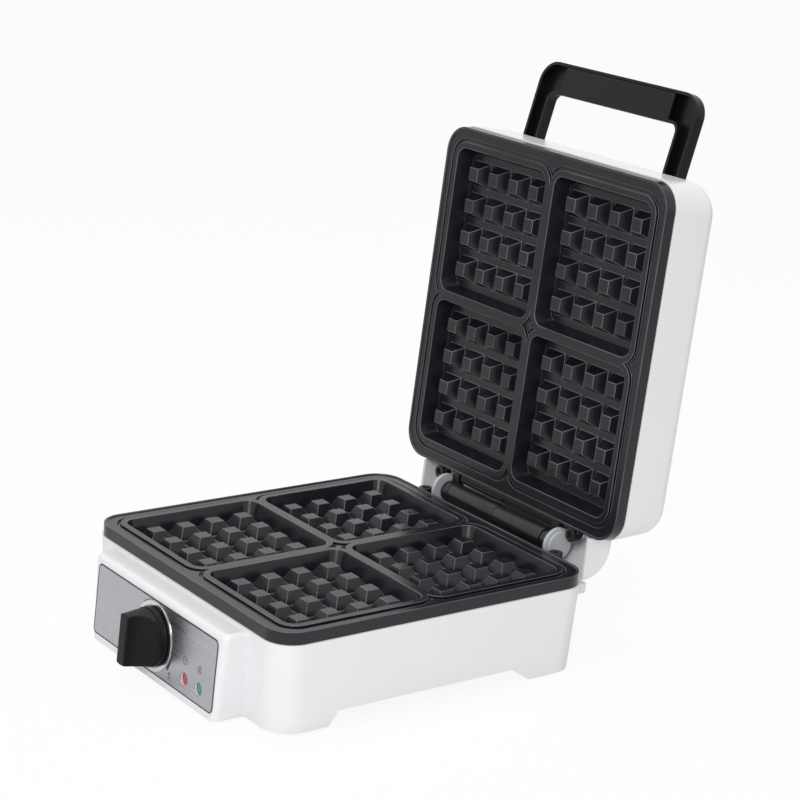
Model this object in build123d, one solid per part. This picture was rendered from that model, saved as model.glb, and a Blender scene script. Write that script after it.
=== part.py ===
from build123d import *
import math
import os

# Four-slice waffle iron, standing open. Millimetres, +X right, +Y to the back, +Z up.
# The pieces are drawn about the middle of the lower plate's front edge, in the parting plane.
# They are saved about the middle of the space that the open iron takes, at table height.

# Waffle plates
PLATE_W = 250.0
PLATE_D = 261.0
PLATE_R = 20.0
RIM_H = 9.0
RIM_RIDGE = 1.6
BAND_DEPTH = 0.9
SLAB_T = 4.0
CAVITY_W = 106.0
CAVITY_D = 111.0
CAVITY_R = 9.0
CAVITY_DEPTH = 13.0
CAVITY_DRAFT = 3.6
DIVIDER_W = 9.4
DIVIDER_D = 7.6
BEAD_W = 4.8
GUTTER_W = 2.8
GUTTER_DEPTH = 2.6
PEG_TOP = 10.0
PEG_BASE = 19.0
PEG_PITCH_X = 24.0
PEG_PITCH_Y = 24.6
PEG_BELOW = 3.8
PEG_COUNT = 4
BODY_BOTTOM = 16.5
UNDERCUT = 3.0
LUG_X = 79.5
LUG_Y = PLATE_D + 3.5
LUG_R = 5.0
LUG_DROP = 3.0

# Heater under each plate
ELEMENT_R = 3.25
ELEMENT_HALF = 84.0
ELEMENT_END = 34.0
ELEMENT_FRONT = 46.0
STUD_X = 104.0
STUD_IN = 20.0
STUD_R = 4.0
REFLECTOR_Z = 25.0
REFLECTOR_T = 0.8
REFLECTOR_LIP = 7.0

# Hinge between the plates
HINGE_BACK = 16.0
HINGE_Y = PLATE_D + HINGE_BACK
OPEN_ANGLE = 94.7
PLATE_GAP = 0.4
PIN_R = 3.0
RUNNING_GAP = 0.05
BARREL_R = 5.3
BARREL_HALF = 55.5
ARM_X = 60.3
ARM_T = 7.4
ARM_R = 7.0
BRACKET_X = 68.0
BRACKET_T = 3.0
BRACKET_R = 12.5

# Base housing
WALL = 2.5
FOOT_Z = -73.0
ARCH_Z = -62.5
HOUSING_EDGE = 1.0
BASE_DRAFT = 2.8
BODY_MID = PLATE_D / 2
TOP_Z = -(PLATE_GAP / 2 + RIM_H)
PAD_R = 8.0
PAD_DROP = 2.0
LEDGE_HALF = 101.0
LEDGE_TOP = -19.8
LEDGE_T = 7.0
LEDGE_BACK = HINGE_Y + 3.5
LEDGE_SCREW_X = 80.0
LEDGE_SCREW_Y = PLATE_D + 10.5
COVER_BOSS_X = 113.5
GLAND_X = -62.0
GLAND_Z = -43.0
CORD_HOLE_R = 3.6

# Control box on the front of the base
BOX_HALF_TOP = 88.0
BOX_HALF_LOW = 83.0
BOX_Y_TOP = -18.4
BOX_Y_LOW = -22.4
BOX_TOP_Z = -11.0
PANEL_W = 161.0
PANEL_H = 51.5
PANEL_T = 0.8
PANEL_MID_Z = -42.3
LENS_R = 4.7
LENS_X = (43.2, 61.6)
LENS_DROP = 15.1

# Control knob
KNOB_R = 21.0
KNOB_DISC = 6.0
KNOB_H = 25.0
GRIP_HALF = 5.0
SHAFT_R = 3.0

# Lid housing and its skirt over the hinge
LID_TOP = 53.0
LID_DRAFT = 2.0
LID_EDGE_R = 13.0
SKIRT_HALF = 100.0
SKIRT_R = 23.0
SKIRT_BOTTOM = 0.7

# Lid handle
HANDLE_HALF = 87.3
HANDLE_LEG = 16.3
HANDLE_REACH = 59.0
GRIP_H = 24.0
HANDLE_T = 10.0
HANDLE_TILT = 11.0
HANDLE_FOOT_Z = 42.0
HANDLE_WALL = 2.3
HANDLE_ROOT = 12.0
COVER_HALF = 60.0
COVER_T = 2.2

# Where the open iron stands
STAND = Pos(0, -161.0, PAD_DROP - FOOT_Z)

ELEMENT_Z = -(BODY_BOTTOM + PLATE_GAP / 2 + ELEMENT_R + 0.1)
HINGE_AXIS = Axis((0, HINGE_Y, 0), (1, 0, 0))
BOX_LEAN = math.degrees(math.atan2(BOX_Y_TOP - BOX_Y_LOW, BOX_TOP_Z - FOOT_Z))
PANEL_Y = BOX_Y_TOP + (BOX_Y_LOW - BOX_Y_TOP) * (BOX_TOP_Z - PANEL_MID_Z) / (BOX_TOP_Z - FOOT_Z)
PANEL_FACE = Plane(
    origin=(0, PANEL_Y, PANEL_MID_Z),
    x_dir=(1, 0, 0),
    z_dir=(0, -math.cos(math.radians(BOX_LEAN)), math.sin(math.radians(BOX_LEAN))),
)


def slab(width, depth, radius, z_low, z_high, mid_y=BODY_MID):
    """A straight prism with rounded corners between two heights."""
    outline = Pos(0, mid_y, z_low) * RectangleRounded(width, depth, radius)
    return extrude(outline, z_high - z_low)


def drafted(low, high, z_low, z_high, mid_y=BODY_MID):
    """A rounded prism whose walls lean: low and high are (width, depth, radius)."""
    bottom = Pos(0, mid_y, z_low) * RectangleRounded(*low)
    top = Pos(0, mid_y, z_high) * RectangleRounded(*high)
    return loft([bottom.face(), top.face()])


def block(low, high):
    """A box from its lowest corner to its highest."""
    size = [b - a for a, b in zip(low, high)]
    mid = [(a + b) / 2 for a, b in zip(low, high)]
    return Pos(*mid) * Box(*size)


def rod_x(radius, x_low, x_high, y, z):
    """A round bar along X."""
    return Pos((x_low + x_high) / 2, y, z) * Rot(0, 90, 0) * Cylinder(radius, x_high - x_low)


def post(radius, x, y, z_low, z_high):
    """A round bar along Z."""
    return Pos(x, y, (z_low + z_high) / 2) * Cylinder(radius, z_high - z_low)


def joined(shapes):
    """One shape from a list of touching shapes."""
    shapes = list(shapes)
    first = shapes[0]
    return first.fuse(*shapes[1:]) if len(shapes) > 1 else first


def group(shapes):
    """Separate solids kept together as one node."""
    return Compound(children=[s.solid() for s in shapes])


def opened(shape):
    """Turn a piece of the lid from its closed place to its open one."""
    return shape.rotate(HINGE_AXIS, -OPEN_ANGLE)


def flipped(shape):
    """Mirror a lower piece about the parting plane, and open it with the lid."""
    return opened(mirror(shape, about=Plane.XY))


# The waffle plates and their heaters


def cavity_mids():
    """The four cavities' middles."""
    dx = (CAVITY_W + DIVIDER_W) / 2
    dy = (CAVITY_D + DIVIDER_D) / 2
    return [(sx * dx, BODY_MID + sy * dy) for sx in (-1, 1) for sy in (-1, 1)]


def cavity_outlines(grow, z):
    """The four cavity outlines, grown outwards, as one sketch."""
    outline = Sketch()
    for x, y in cavity_mids():
        outline += Pos(x, y, z) * RectangleRounded(
            CAVITY_W + 2 * grow, CAVITY_D + 2 * grow, CAVITY_R + grow
        )
    return outline


def cavity(x, y):
    """The drafted hollow of one waffle."""
    top = Pos(x, y, 1) * RectangleRounded(CAVITY_W + 0.6, CAVITY_D + 0.6, CAVITY_R)
    inset = 2 * CAVITY_DRAFT
    low = Pos(x, y, -CAVITY_DEPTH) * RectangleRounded(
        CAVITY_W - inset, CAVITY_D - inset, CAVITY_R - 2
    )
    return loft([low.face(), top.face()])


def peg(x, y):
    """One truncated pyramid, its foot sunk into the cavity's floor."""
    sink = 0.5
    slope = (PEG_BASE - PEG_TOP) / (CAVITY_DEPTH - PEG_BELOW)
    base = Pos(x, y, -CAVITY_DEPTH - sink) * Rectangle(
        PEG_BASE + slope * sink, PEG_BASE + slope * sink
    )
    top = Pos(x, y, -PEG_BELOW) * Rectangle(PEG_TOP, PEG_TOP)
    return loft([base.face(), top.face()])


def peg_field(x, y):
    """The pegs of one cavity."""
    span = (PEG_COUNT - 1) / 2
    for i in range(PEG_COUNT):
        for j in range(PEG_COUNT):
            yield peg(x + (i - span) * PEG_PITCH_X, y + (j - span) * PEG_PITCH_Y)


def stud_places():
    """Where the posts under a plate stand: between the cavities, clear of the heater."""
    return [(0, STUD_IN), (0, PLATE_D - STUD_IN), (-STUD_X, BODY_MID), (STUD_X, BODY_MID)]


def plate_casting():
    """A waffle plate: rim, band, gutter, beads, four cavities, pegs and hinge lugs."""
    body = slab(PLATE_W, PLATE_D, PLATE_R, -RIM_H, 0)
    inner = (PLATE_W - 2 * UNDERCUT, PLATE_D - 2 * UNDERCUT, PLATE_R - UNDERCUT)
    body -= slab(*inner, -RIM_H - 1, -SLAB_T)
    tub = (2 * CAVITY_W + DIVIDER_W + 4, 2 * CAVITY_D + DIVIDER_D + 4, 12)
    foot = (tub[0] - 6, tub[1] - 6, 10)
    body += drafted(foot, tub, -BODY_BOTTOM, -SLAB_T + 0.5)
    ridge = 2 * RIM_RIDGE
    recess = extrude(
        Pos(0, BODY_MID, -BAND_DEPTH)
        * RectangleRounded(PLATE_W - ridge, PLATE_D - ridge, PLATE_R - RIM_RIDGE),
        BAND_DEPTH + 1,
    )
    body -= recess - extrude(cavity_outlines(BEAD_W, -BAND_DEPTH), BAND_DEPTH + 1)
    gutter = cavity_outlines(BEAD_W + GUTTER_W, -GUTTER_DEPTH) - cavity_outlines(
        BEAD_W, -GUTTER_DEPTH
    )
    body -= extrude(gutter, GUTTER_DEPTH + 1)
    for x, y in cavity_mids():
        body -= cavity(x, y)
    pegs = [p for x, y in cavity_mids() for p in peg_field(x, y)]
    body = body.fuse(*pegs)
    for side in (-1, 1):
        x = side * LUG_X
        lug = post(LUG_R, x, LUG_Y, -RIM_H, -LUG_DROP)
        lug += block((x - LUG_R, PLATE_D - 2, -RIM_H), (x + LUG_R, LUG_Y, -LUG_DROP))
        body += lug
        body -= post(2.05, x, LUG_Y, -RIM_H - 1, -LUG_DROP + 1)
    studs = [post(STUD_R, x, y, -REFLECTOR_Z, -SLAB_T) for x, y in stud_places()]
    body = body.fuse(*studs)
    for x, y in stud_places():
        body -= post(1.7, x, y, -REFLECTOR_Z - 1, -REFLECTOR_Z + 8)
    return Pos(0, 0, -PLATE_GAP / 2) * body


def heating_element():
    """A sheathed tube bent in a long loop under the cavities, with a pin at each end."""
    turn_in = ELEMENT_FRONT + 20
    back = PLATE_D - ELEMENT_FRONT
    tight, wide = 9.0, 22.0
    left = [
        (-20, turn_in),
        (-ELEMENT_END, turn_in),
        (-ELEMENT_END, ELEMENT_FRONT),
        (-ELEMENT_HALF, ELEMENT_FRONT),
        (-ELEMENT_HALF, back),
    ]
    right = [(-x, y) for x, y in reversed(left)]
    path = FilletPolyline(
        *[(x, y, ELEMENT_Z) for x, y in left + right],
        radius=[tight] * 3 + [wide] * 2 + [tight] * 3,
    )
    start = Plane(origin=path @ 0, z_dir=path % 0)
    tube = sweep(start * Circle(ELEMENT_R), path=path)
    pins = [rod_x(1.6, *sorted((side * 8, side * 22)), turn_in, ELEMENT_Z) for side in (-1, 1)]
    return joined([tube] + pins)


def element_clips():
    """Bent straps that hold the heating element against the plate's underside."""
    clips = []
    low = ELEMENT_Z - ELEMENT_R
    top = -(BODY_BOTTOM + PLATE_GAP / 2)
    places = [(x, y) for x in (-ELEMENT_HALF, ELEMENT_HALF) for y in (90, 170)]
    for x, y in places:
        outer = block((x - 5.4, y - 5, low - 1), (x + 5.4, y + 5, top))
        inner = block((x - 4.2, y - 6, low), (x + 4.2, y + 6, top + 1))
        ears = block((x - 11, y - 5, top - 1), (x - 4.3, y + 5, top))
        ears += block((x + 4.3, y - 5, top - 1), (x + 11, y + 5, top))
        clips.append(outer - inner + ears)
    return group(clips)


def heat_reflector():
    """A thin sheet tray that hangs from the plate's posts under the heater."""
    z = -(REFLECTOR_Z + PLATE_GAP / 2)
    width, depth, radius = PLATE_W - 18, PLATE_D - 18, 14
    tray = slab(width, depth, radius, z - REFLECTOR_T, z + REFLECTOR_LIP)
    inner = 2 * REFLECTOR_T
    tray -= slab(width - inner, depth - inner, radius - REFLECTOR_T, z, z + REFLECTOR_LIP + 1)
    for x, y in stud_places():
        tray -= post(1.9, x, y, z - 2, z + 1)
    return tray


def reflector_screws():
    """Four pan-head screws through the tray into the plate's posts."""
    z = -(REFLECTOR_Z + PLATE_GAP / 2 + REFLECTOR_T)
    return group(
        post(3.2, x, y, z - 2, z) + post(1.6, x, y, z - 1, z + 6) for x, y in stud_places()
    )


def plate_screws():
    """Socket screws in the two lugs at the plate's hinge edge."""
    screws = []
    seat = -PLATE_GAP / 2 - LUG_DROP
    top = seat + 2.6
    for side in (-1, 1):
        x = side * LUG_X
        head = post(3.4, x, LUG_Y, seat, top)
        head -= Pos(x, LUG_Y, top) * extrude(RegularPolygon(1.9, 6), -1.4)
        screws.append(head + post(2.0, x, LUG_Y, seat - 11.4, seat + 0.6))
    return group(screws)


# Hinge


def bored(shape, x_low, x_high, gap=RUNNING_GAP):
    """Cut the hinge pin's hole through a piece."""
    return shape - rod_x(PIN_R + gap, x_low - 1, x_high + 1, HINGE_Y, 0)


def hinge_knuckle(x_low, x_high, lip):
    """Half of the hinge barrel with the web that joins it to its plate's back edge."""
    shape = rod_x(BARREL_R, x_low, x_high, HINGE_Y, 0)
    shape += block((x_low, PLATE_D, -7.6), (x_high, HINGE_Y - 1, -3.2))
    if lip:
        shape += block((x_low + 2, PLATE_D + 5.4, -3.3), (x_high - 2, PLATE_D + 7.4, -1.6))
    return bored(shape, x_low, x_high)


def hinge_arm(side):
    """A cast arm of the upper plate that turns on the pin beside the barrel."""
    x_low = side * ARM_X - ARM_T / 2
    x_high = x_low + ARM_T
    shape = rod_x(ARM_R, x_low, x_high, HINGE_Y, 0)
    shape += block((x_low, PLATE_D, -8.2), (x_high, HINGE_Y - 2, -2.0))
    return bored(shape, x_low, x_high)


def hinge_bracket(side):
    """A pressed steel bracket: foot on the housing's ledge, round ear on the pin."""
    x_in = side * BRACKET_X - BRACKET_T / 2
    x_out = x_in + BRACKET_T
    ear = rod_x(BRACKET_R, x_in, x_out, HINGE_Y, 0)
    ear += block((x_in, HINGE_Y - 12.2, LEDGE_TOP), (x_out, HINGE_Y - 1.5, 0))
    reach = sorted((side * (BRACKET_X - BRACKET_T / 2), side * 87))
    foot_y = (PLATE_D + 1.6, HINGE_Y - 1.5)
    ear += block((reach[0], foot_y[0], LEDGE_TOP), (reach[1], foot_y[1], LEDGE_TOP + 2.5))
    seat = TOP_Z - 2.5
    ear += block((reach[0], foot_y[0], seat), (reach[1], PLATE_D + 9.5, TOP_Z))
    ear = bored(ear, x_in, x_out, 0.0)
    ear -= post(2.2, side * LUG_X, LUG_Y, seat - 1, TOP_Z + 1)
    return ear - post(2.2, side * LEDGE_SCREW_X, LEDGE_SCREW_Y, LEDGE_TOP - 1, LEDGE_TOP + 3.5)


def bracket_screws():
    """Pan-head screws that hold the brackets to the ledge."""
    top = LEDGE_TOP + 2.5
    return group(
        post(3.6, side * LEDGE_SCREW_X, LEDGE_SCREW_Y, top, top + 2)
        + post(1.8, side * LEDGE_SCREW_X, LEDGE_SCREW_Y, top - 8, top + 1)
        for side in (-1, 1)
    )


def hinge_pin():
    """The steel pin, with a formed head outside each bracket."""
    end = BRACKET_X + BRACKET_T / 2
    pin = rod_x(PIN_R, -end, end, HINGE_Y, 0)
    for side in (-1, 1):
        head = rod_x(5.2, *sorted((side * end, side * (end + 2.2))), HINGE_Y, 0)
        pin += head
    return pin


# Base


def base_outer():
    """The outside of the base housing before it is hollowed."""
    top = (PLATE_W + 2 * HOUSING_EDGE, PLATE_D + 2 * HOUSING_EDGE, PLATE_R + 1)
    low = (top[0] - 2 * BASE_DRAFT, top[1] - 2 * BASE_DRAFT, PLATE_R + 1)
    body = drafted(low, top, FOOT_Z, TOP_Z)
    low_box = Pos(0, (BOX_Y_LOW + 40) / 2, FOOT_Z) * RectangleRounded(
        2 * BOX_HALF_LOW, 40 - BOX_Y_LOW, 5
    )
    top_box = Pos(0, (BOX_Y_TOP + 40) / 2, BOX_TOP_Z) * RectangleRounded(
        2 * BOX_HALF_TOP, 40 - BOX_Y_TOP, 5
    )
    box = loft([low_box.face(), top_box.face()])
    rim = [e for e in box.faces().sort_by(Axis.Z)[-1].edges() if e.center().Y < 20]
    return body + fillet(rim, 4.0)


def base_hollow():
    """The inside of the base, open above and below, with the control box's room."""
    top_w = PLATE_W + 2 * (HOUSING_EDGE - WALL)
    top_d = PLATE_D + 2 * (HOUSING_EDGE - WALL)
    low = (top_w - 2 * BASE_DRAFT, top_d - 2 * BASE_DRAFT, PLATE_R - 1.5)
    room = drafted(low, (top_w, top_d, PLATE_R - 1.5), ARCH_Z, TOP_Z + 1)
    low_box = Pos(0, (BOX_Y_LOW + WALL + 30) / 2, FOOT_Z + WALL) * RectangleRounded(
        2 * (BOX_HALF_LOW - WALL), 30 - BOX_Y_LOW - WALL, 3
    )
    top_box = Pos(0, (BOX_Y_TOP + WALL + 30) / 2, BOX_TOP_Z - WALL) * RectangleRounded(
        2 * (BOX_HALF_TOP - WALL), 30 - BOX_Y_TOP - WALL, 3
    )
    return room + loft([low_box.face(), top_box.face()])


def side_arch():
    """The cut under each side, between the front and rear feet."""
    points = [(42, FOOT_Z - 1), (50, ARCH_Z), (197, ARCH_Z), (215, FOOT_Z - 1)]
    face = Plane.YZ * make_face(Polyline(*points, close=True))
    return extrude(face, PLATE_W, both=True)


def rear_arch():
    """The cut under the back and middle, leaving the control box's floor."""
    points = [(-84, FOOT_Z - 1), (-76, ARCH_Z), (76, ARCH_Z), (84, FOOT_Z - 1)]
    face = Plane.XZ * make_face(Polyline(*points, close=True))
    return Pos(0, 33, 0) * extrude(face, -PLATE_D)


def foot_pockets():
    """Hollows inside the four feet."""
    pockets = []
    for side in (-1, 1):
        x = sorted((side * 89, side * 117))
        for y in ((12, 38), (222, 250)):
            pockets.append(block((x[0], y[0], FOOT_Z + WALL), (x[1], y[1], ARCH_Z + 1)))
    return pockets


def cover_boss(side, y):
    """A screw boss on a side wall, joined to it by a web."""
    x = side * COVER_BOSS_X
    low, high = ARCH_Z + 2.4, -36
    boss = post(4.5, x, y, low, high)
    reach = sorted((x, side * 122.5))
    boss += block((reach[0], y - 1.2, low), (reach[1], y + 1.2, high))
    return boss - post(1.7, x, y, ARCH_Z, ARCH_Z + 14)


def cover_places():
    """Where the bottom cover's screws go."""
    return [(side, y) for side in (-1, 1) for y in (75, 180)]


def hinge_ledge():
    """The shelf behind the back wall that carries the hinge brackets."""
    low = LEDGE_TOP - LEDGE_T
    shelf = block((-LEDGE_HALF, PLATE_D - 1.5, low), (LEDGE_HALF, LEDGE_BACK, LEDGE_TOP))
    rear = [e for e in shelf.edges() if e.center().Y > LEDGE_BACK - 0.1]
    shelf = fillet([e for e in rear if e.center().Z < LEDGE_TOP - 1], 2.5)
    room = block(
        (-LEDGE_HALF + WALL, PLATE_D + 2, low - 1),
        (LEDGE_HALF - WALL, LEDGE_BACK - WALL, LEDGE_TOP - 3),
    )
    for side in (-1, 1):
        x = side * LEDGE_SCREW_X
        room -= block((x - 5, PLATE_D, low - 1), (x + 5, LEDGE_BACK, LEDGE_TOP))
    shelf -= room
    for side in (-1, 1):
        shelf -= post(1.9, side * LEDGE_SCREW_X, LEDGE_SCREW_Y, LEDGE_TOP - 6, LEDGE_TOP + 1)
    return shelf


def gland_plane(offset=0.0):
    """A plane on the outside of the leaning back wall, facing backwards."""
    share = (TOP_Z - GLAND_Z) / (TOP_Z - FOOT_Z)
    wall_y = PLATE_D + HOUSING_EDGE - BASE_DRAFT * share
    outwards = Vector(0, TOP_Z - FOOT_Z, -BASE_DRAFT).normalized()
    return Plane(origin=(GLAND_X, wall_y, GLAND_Z), x_dir=(1, 0, 0), z_dir=outwards).offset(offset)


def base_housing():
    """The moulded base: drafted walls, control box, four feet, arches and hinge ledge."""
    shell = base_outer() - base_hollow()
    shell -= side_arch()
    shell -= rear_arch()
    for pocket in foot_pockets():
        shell -= pocket
    for side, y in cover_places():
        shell += cover_boss(side, y)
    shell += hinge_ledge()
    recess = PANEL_FACE * RectangleRounded(PANEL_W + 0.6, PANEL_H + 0.6, 4.3)
    shell -= extrude(recess, -0.6)
    shell -= extrude(PANEL_FACE * Circle(5.2), -12, both=True)
    for x in LENS_X:
        shell -= extrude(PANEL_FACE * Pos(x, -LENS_DROP) * Circle(LENS_R + 0.1), -12, both=True)
    return shell - extrude(gland_plane() * Circle(7.1), 8, both=True)


def bottom_cover():
    """The flat cover between the feet, with louvres and screw holes."""
    width = PLATE_W + 2 * (HOUSING_EDGE - WALL - BASE_DRAFT) - 0.4
    depth = PLATE_D + 2 * (HOUSING_EDGE - WALL - BASE_DRAFT) - 0.4
    low_edge = 32.0
    cover = slab(width, depth, PLATE_R - 2, ARCH_Z + 0.2, ARCH_Z + 2.2)
    cover -= block((-85, -10, ARCH_Z - 1), (85, low_edge, ARCH_Z + 4))
    for side, y in cover_places():
        cover -= post(2.2, side * COVER_BOSS_X, y, ARCH_Z - 1, ARCH_Z + 4)
    slot = extrude(Rot(0, 0, 90) * SlotOverall(36, 4), 4, both=True)
    for x in range(-48, 49, 16):
        for y in (80, 180):
            cover -= Pos(x, y, ARCH_Z + 1) * slot
    return cover


def cover_screws():
    """Four pan-head screws that hold the bottom cover."""
    low = ARCH_Z + 0.2
    return group(
        post(3.6, side * COVER_BOSS_X, y, low - 2, low)
        + post(1.6, side * COVER_BOSS_X, y, low - 1, low + 12)
        for side, y in cover_places()
    )


def rubber_feet():
    """Soft round pads under the four corners."""
    pads = []
    for side in (-1, 1):
        for y in (17, 244):
            disc = post(PAD_R, side * 107, y, FOOT_Z - PAD_DROP, FOOT_Z)
            pads.append(chamfer(disc.edges().group_by(Axis.Z)[0], 0.6))
    return group(pads)


def cord_gland():
    """A flanged bush in the back wall where the mains lead would enter."""
    bush = extrude(gland_plane(-6.4) * Circle(7.0), 7.0)
    bush += extrude(gland_plane() * Circle(9.0), 2.8)
    bush += extrude(gland_plane(-6.4) * Circle(8.2), 2.4)
    return bush - extrude(gland_plane() * Circle(CORD_HOLE_R), 20, both=True)


def terminal_block():
    """A three-way screw terminal on the inside of the cover."""
    x, y, z = GLAND_X, PLATE_D - 34, ARCH_Z + 2.2
    body = block((x - 15, y - 8, z), (x + 15, y + 8, z + 11))
    for i in (-1, 0, 1):
        body -= post(2.4, x + i * 9.5, y, z + 5, z + 12)
        body -= Pos(x + i * 9.5, y, z + 5) * Rot(90, 0, 0) * Cylinder(2.0, 20)
    return body


# Controls


def control_panel():
    """The brushed plate on the control box, in its shallow recess."""
    plate = extrude(PANEL_FACE * RectangleRounded(PANEL_W, PANEL_H, 4), PANEL_T)
    plate -= extrude(PANEL_FACE * Circle(5.2), 4, both=True)
    for x in LENS_X:
        plate -= extrude(PANEL_FACE * Pos(x, -LENS_DROP) * Circle(LENS_R + 0.2), 4, both=True)
    return Pos(*(PANEL_FACE.z_dir * -0.6)) * plate


def knob_bezel():
    """A thin raised ring round the knob."""
    face = PANEL_FACE.offset(PANEL_T - 0.6)
    ring = extrude(face * (Circle(24.6) - Circle(22.0)), 0.8)
    return fillet(ring.edges().filter_by(GeomType.CIRCLE).sort_by(SortBy.RADIUS)[-1:], 0.3)


def lamp_lens(x):
    """A coloured lens, a little below the panel's face, with a stem in the wall."""
    face = PANEL_FACE.offset(-1.4)
    lens = extrude(face * Pos(x, -LENS_DROP) * Circle(LENS_R), -3.4)
    front = lens.edges().filter_by(GeomType.CIRCLE).sort_by(Axis.Y)[:1]
    return fillet(front, 0.8)


def lamp_holders():
    """Neon lamp sleeves behind the two lenses."""
    face = PANEL_FACE.offset(-4.8)
    return group(
        extrude(face * Pos(x, -LENS_DROP) * Circle(3.6), -17) for x in LENS_X
    )


def thermostat_body():
    """The thermostat: a round case with two tabs and the bush that guides the shaft."""
    case = extrude(PANEL_FACE.offset(-6.2) * Circle(15), -13)
    bush = extrude(PANEL_FACE.offset(-6.2) * Circle(4.9), 5.2)
    tabs = extrude(PANEL_FACE.offset(-19.2) * Rectangle(6.3, 24), -7)
    tabs -= extrude(PANEL_FACE.offset(-19.2) * Rectangle(8, 14), -8)
    body = case + bush + tabs
    return body - extrude(PANEL_FACE.offset(-14) * Circle(SHAFT_R + RUNNING_GAP), 20)


def thermostat_bracket():
    """A folded strap that carries the thermostat on the back of the front wall."""
    back = extrude(PANEL_FACE.offset(-5.0) * RectangleRounded(56, 18, 3), -1.2)
    back -= extrude(PANEL_FACE.offset(-5.0) * Circle(5.1), -2, both=True)
    pads = [
        extrude(PANEL_FACE.offset(-3.1) * Pos(s * 23, 0) * Rectangle(9, 18), -1.9) for s in (-1, 1)
    ]
    strap = joined([back] + pads)
    for s in (-1, 1):
        strap -= extrude(PANEL_FACE.offset(-5.0) * Pos(s * 23, 0) * Circle(1.8), 8, both=True)
    return strap


def thermostat_screws():
    """Two screws from the strap into the front wall."""
    return group(
        extrude(PANEL_FACE.offset(-6.2) * Pos(s * 23, 0) * Circle(3.0), -2)
        + extrude(PANEL_FACE.offset(-7.0) * Pos(s * 23, 0) * Circle(1.6), 3.8)
        for s in (-1, 1)
    )


def thermostat_shaft():
    """The turning spindle, with a flat for the knob."""
    start = -13.5
    shaft = extrude(PANEL_FACE.offset(start) * Circle(SHAFT_R), 16 - start)
    flat = extrude(PANEL_FACE.offset(7) * Pos(0, SHAFT_R - 0.4) * Rectangle(8, 2.2), 12)
    return shaft - flat


def control_knob():
    """A round skirted knob with an upright grip whose flanks are scooped."""
    disc = extrude(PANEL_FACE.offset(1.4) * Circle(KNOB_R), KNOB_DISC - 1.4, taper=3)
    post_low = PANEL_FACE.offset(KNOB_DISC - 0.5) * Circle(KNOB_R - 0.8)
    post_top = PANEL_FACE.offset(KNOB_H) * Circle(KNOB_R - 3.0)
    grip = loft([post_low.face(), post_top.face()])
    scoop = KNOB_H - 3 - KNOB_DISC
    across = Plane(origin=PANEL_FACE.origin, x_dir=(1, 0, 0), z_dir=-PANEL_FACE.y_dir)
    for side in (-1, 1):
        mid = side * (GRIP_HALF + scoop)
        hollow = across * Pos(mid, KNOB_H - 3) * Circle(scoop)
        above = across * Pos(mid, KNOB_H + 3) * Rectangle(2 * scoop, 12)
        beyond = across * Pos(mid + side * 10, KNOB_H - 3) * Rectangle(20, 2 * scoop)
        grip -= extrude(hollow + above + beyond, 60, both=True)
    edges = [e for e in grip.edges() if e.length > 8 and far_out(e) > KNOB_H - 0.2]
    grip = fillet(edges, 1.2)
    knob = disc + grip
    bore = extrude(PANEL_FACE.offset(0) * Circle(SHAFT_R + 0.02), 16.1)
    hub_room = extrude(PANEL_FACE.offset(1.0) * (Circle(KNOB_R - 2.5) - Circle(6.5)), 3.2)
    return knob - bore - hub_room


def far_out(edge):
    """How far an edge's middle stands out from the panel."""
    return (edge.center() - PANEL_FACE.origin).dot(PANEL_FACE.z_dir)


# Lid, in its closed place


def lid_shell():
    """The lid's drafted tray with big soft edges, upside down over the upper plate."""
    low_z = -TOP_Z
    low = (PLATE_W + 2 * HOUSING_EDGE, PLATE_D + 2 * HOUSING_EDGE, PLATE_R + 1)
    top = (low[0] - 2 * LID_DRAFT, low[1] - 2 * LID_DRAFT, PLATE_R + 5)
    outer = drafted(low, top, low_z, LID_TOP)
    outer = fillet(outer.faces().sort_by(Axis.Z)[-1].edges(), LID_EDGE_R)
    inset = 2 * WALL
    low_in = (low[0] - inset, low[1] - inset, low[2] - WALL)
    top_in = (top[0] - inset, top[1] - inset, top[2] - WALL)
    inner = drafted(low_in, top_in, low_z - 1, LID_TOP - WALL)
    return outer - fillet(inner.faces().sort_by(Axis.Z)[-1].edges(), LID_EDGE_R - WALL)


def skirt_profile(radius, top, y_front, bottom):
    """The skirt's side outline: flat over the hinge, then a quarter round behind it."""
    mid_y = HINGE_Y - 5.5
    mid_z = top - radius
    start = (mid_y, top)
    end = (mid_y + radius, mid_z)
    corner = radius * math.sqrt(0.5)
    lines = Polyline(end, (end[0], bottom), (y_front, bottom), (y_front, top), start)
    arc = ThreePointArc(start, (mid_y + corner, mid_z + corner), end)
    return Plane.YZ * make_face(lines + arc)


def lid_skirt():
    """The hood behind the lid that covers the hinge, open towards the base."""
    top = SKIRT_BOTTOM + SKIRT_R
    front = PLATE_D + 1.3
    outer = extrude(skirt_profile(SKIRT_R, top, front - 2, SKIRT_BOTTOM), SKIRT_HALF, both=True)
    room = skirt_profile(SKIRT_R - WALL, top - WALL, front, SKIRT_BOTTOM - 5)
    outer -= extrude(room, SKIRT_HALF - WALL, both=True)
    soft = [e for e in outer.edges() if abs(abs(e.center().X) - SKIRT_HALF) < 0.01]
    soft = [e for e in soft if e.center().Z > SKIRT_BOTTOM + 3 and e.center().Y > front + 1]
    outer = fillet(soft, 1.2)
    return outer - block((-150, front - 3, -5), (150, front, -TOP_Z))


def handle_plane(offset=0.0):
    """The plane of the handle's near face: u along X, v outwards from the lid."""
    tilt = math.radians(HANDLE_TILT)
    out = Vector(0, -math.cos(tilt), math.sin(tilt))
    plane = Plane(origin=(0, 0, HANDLE_FOOT_Z), x_dir=(1, 0, 0), z_dir=Vector(1, 0, 0).cross(out))
    return plane.offset(offset)


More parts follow.
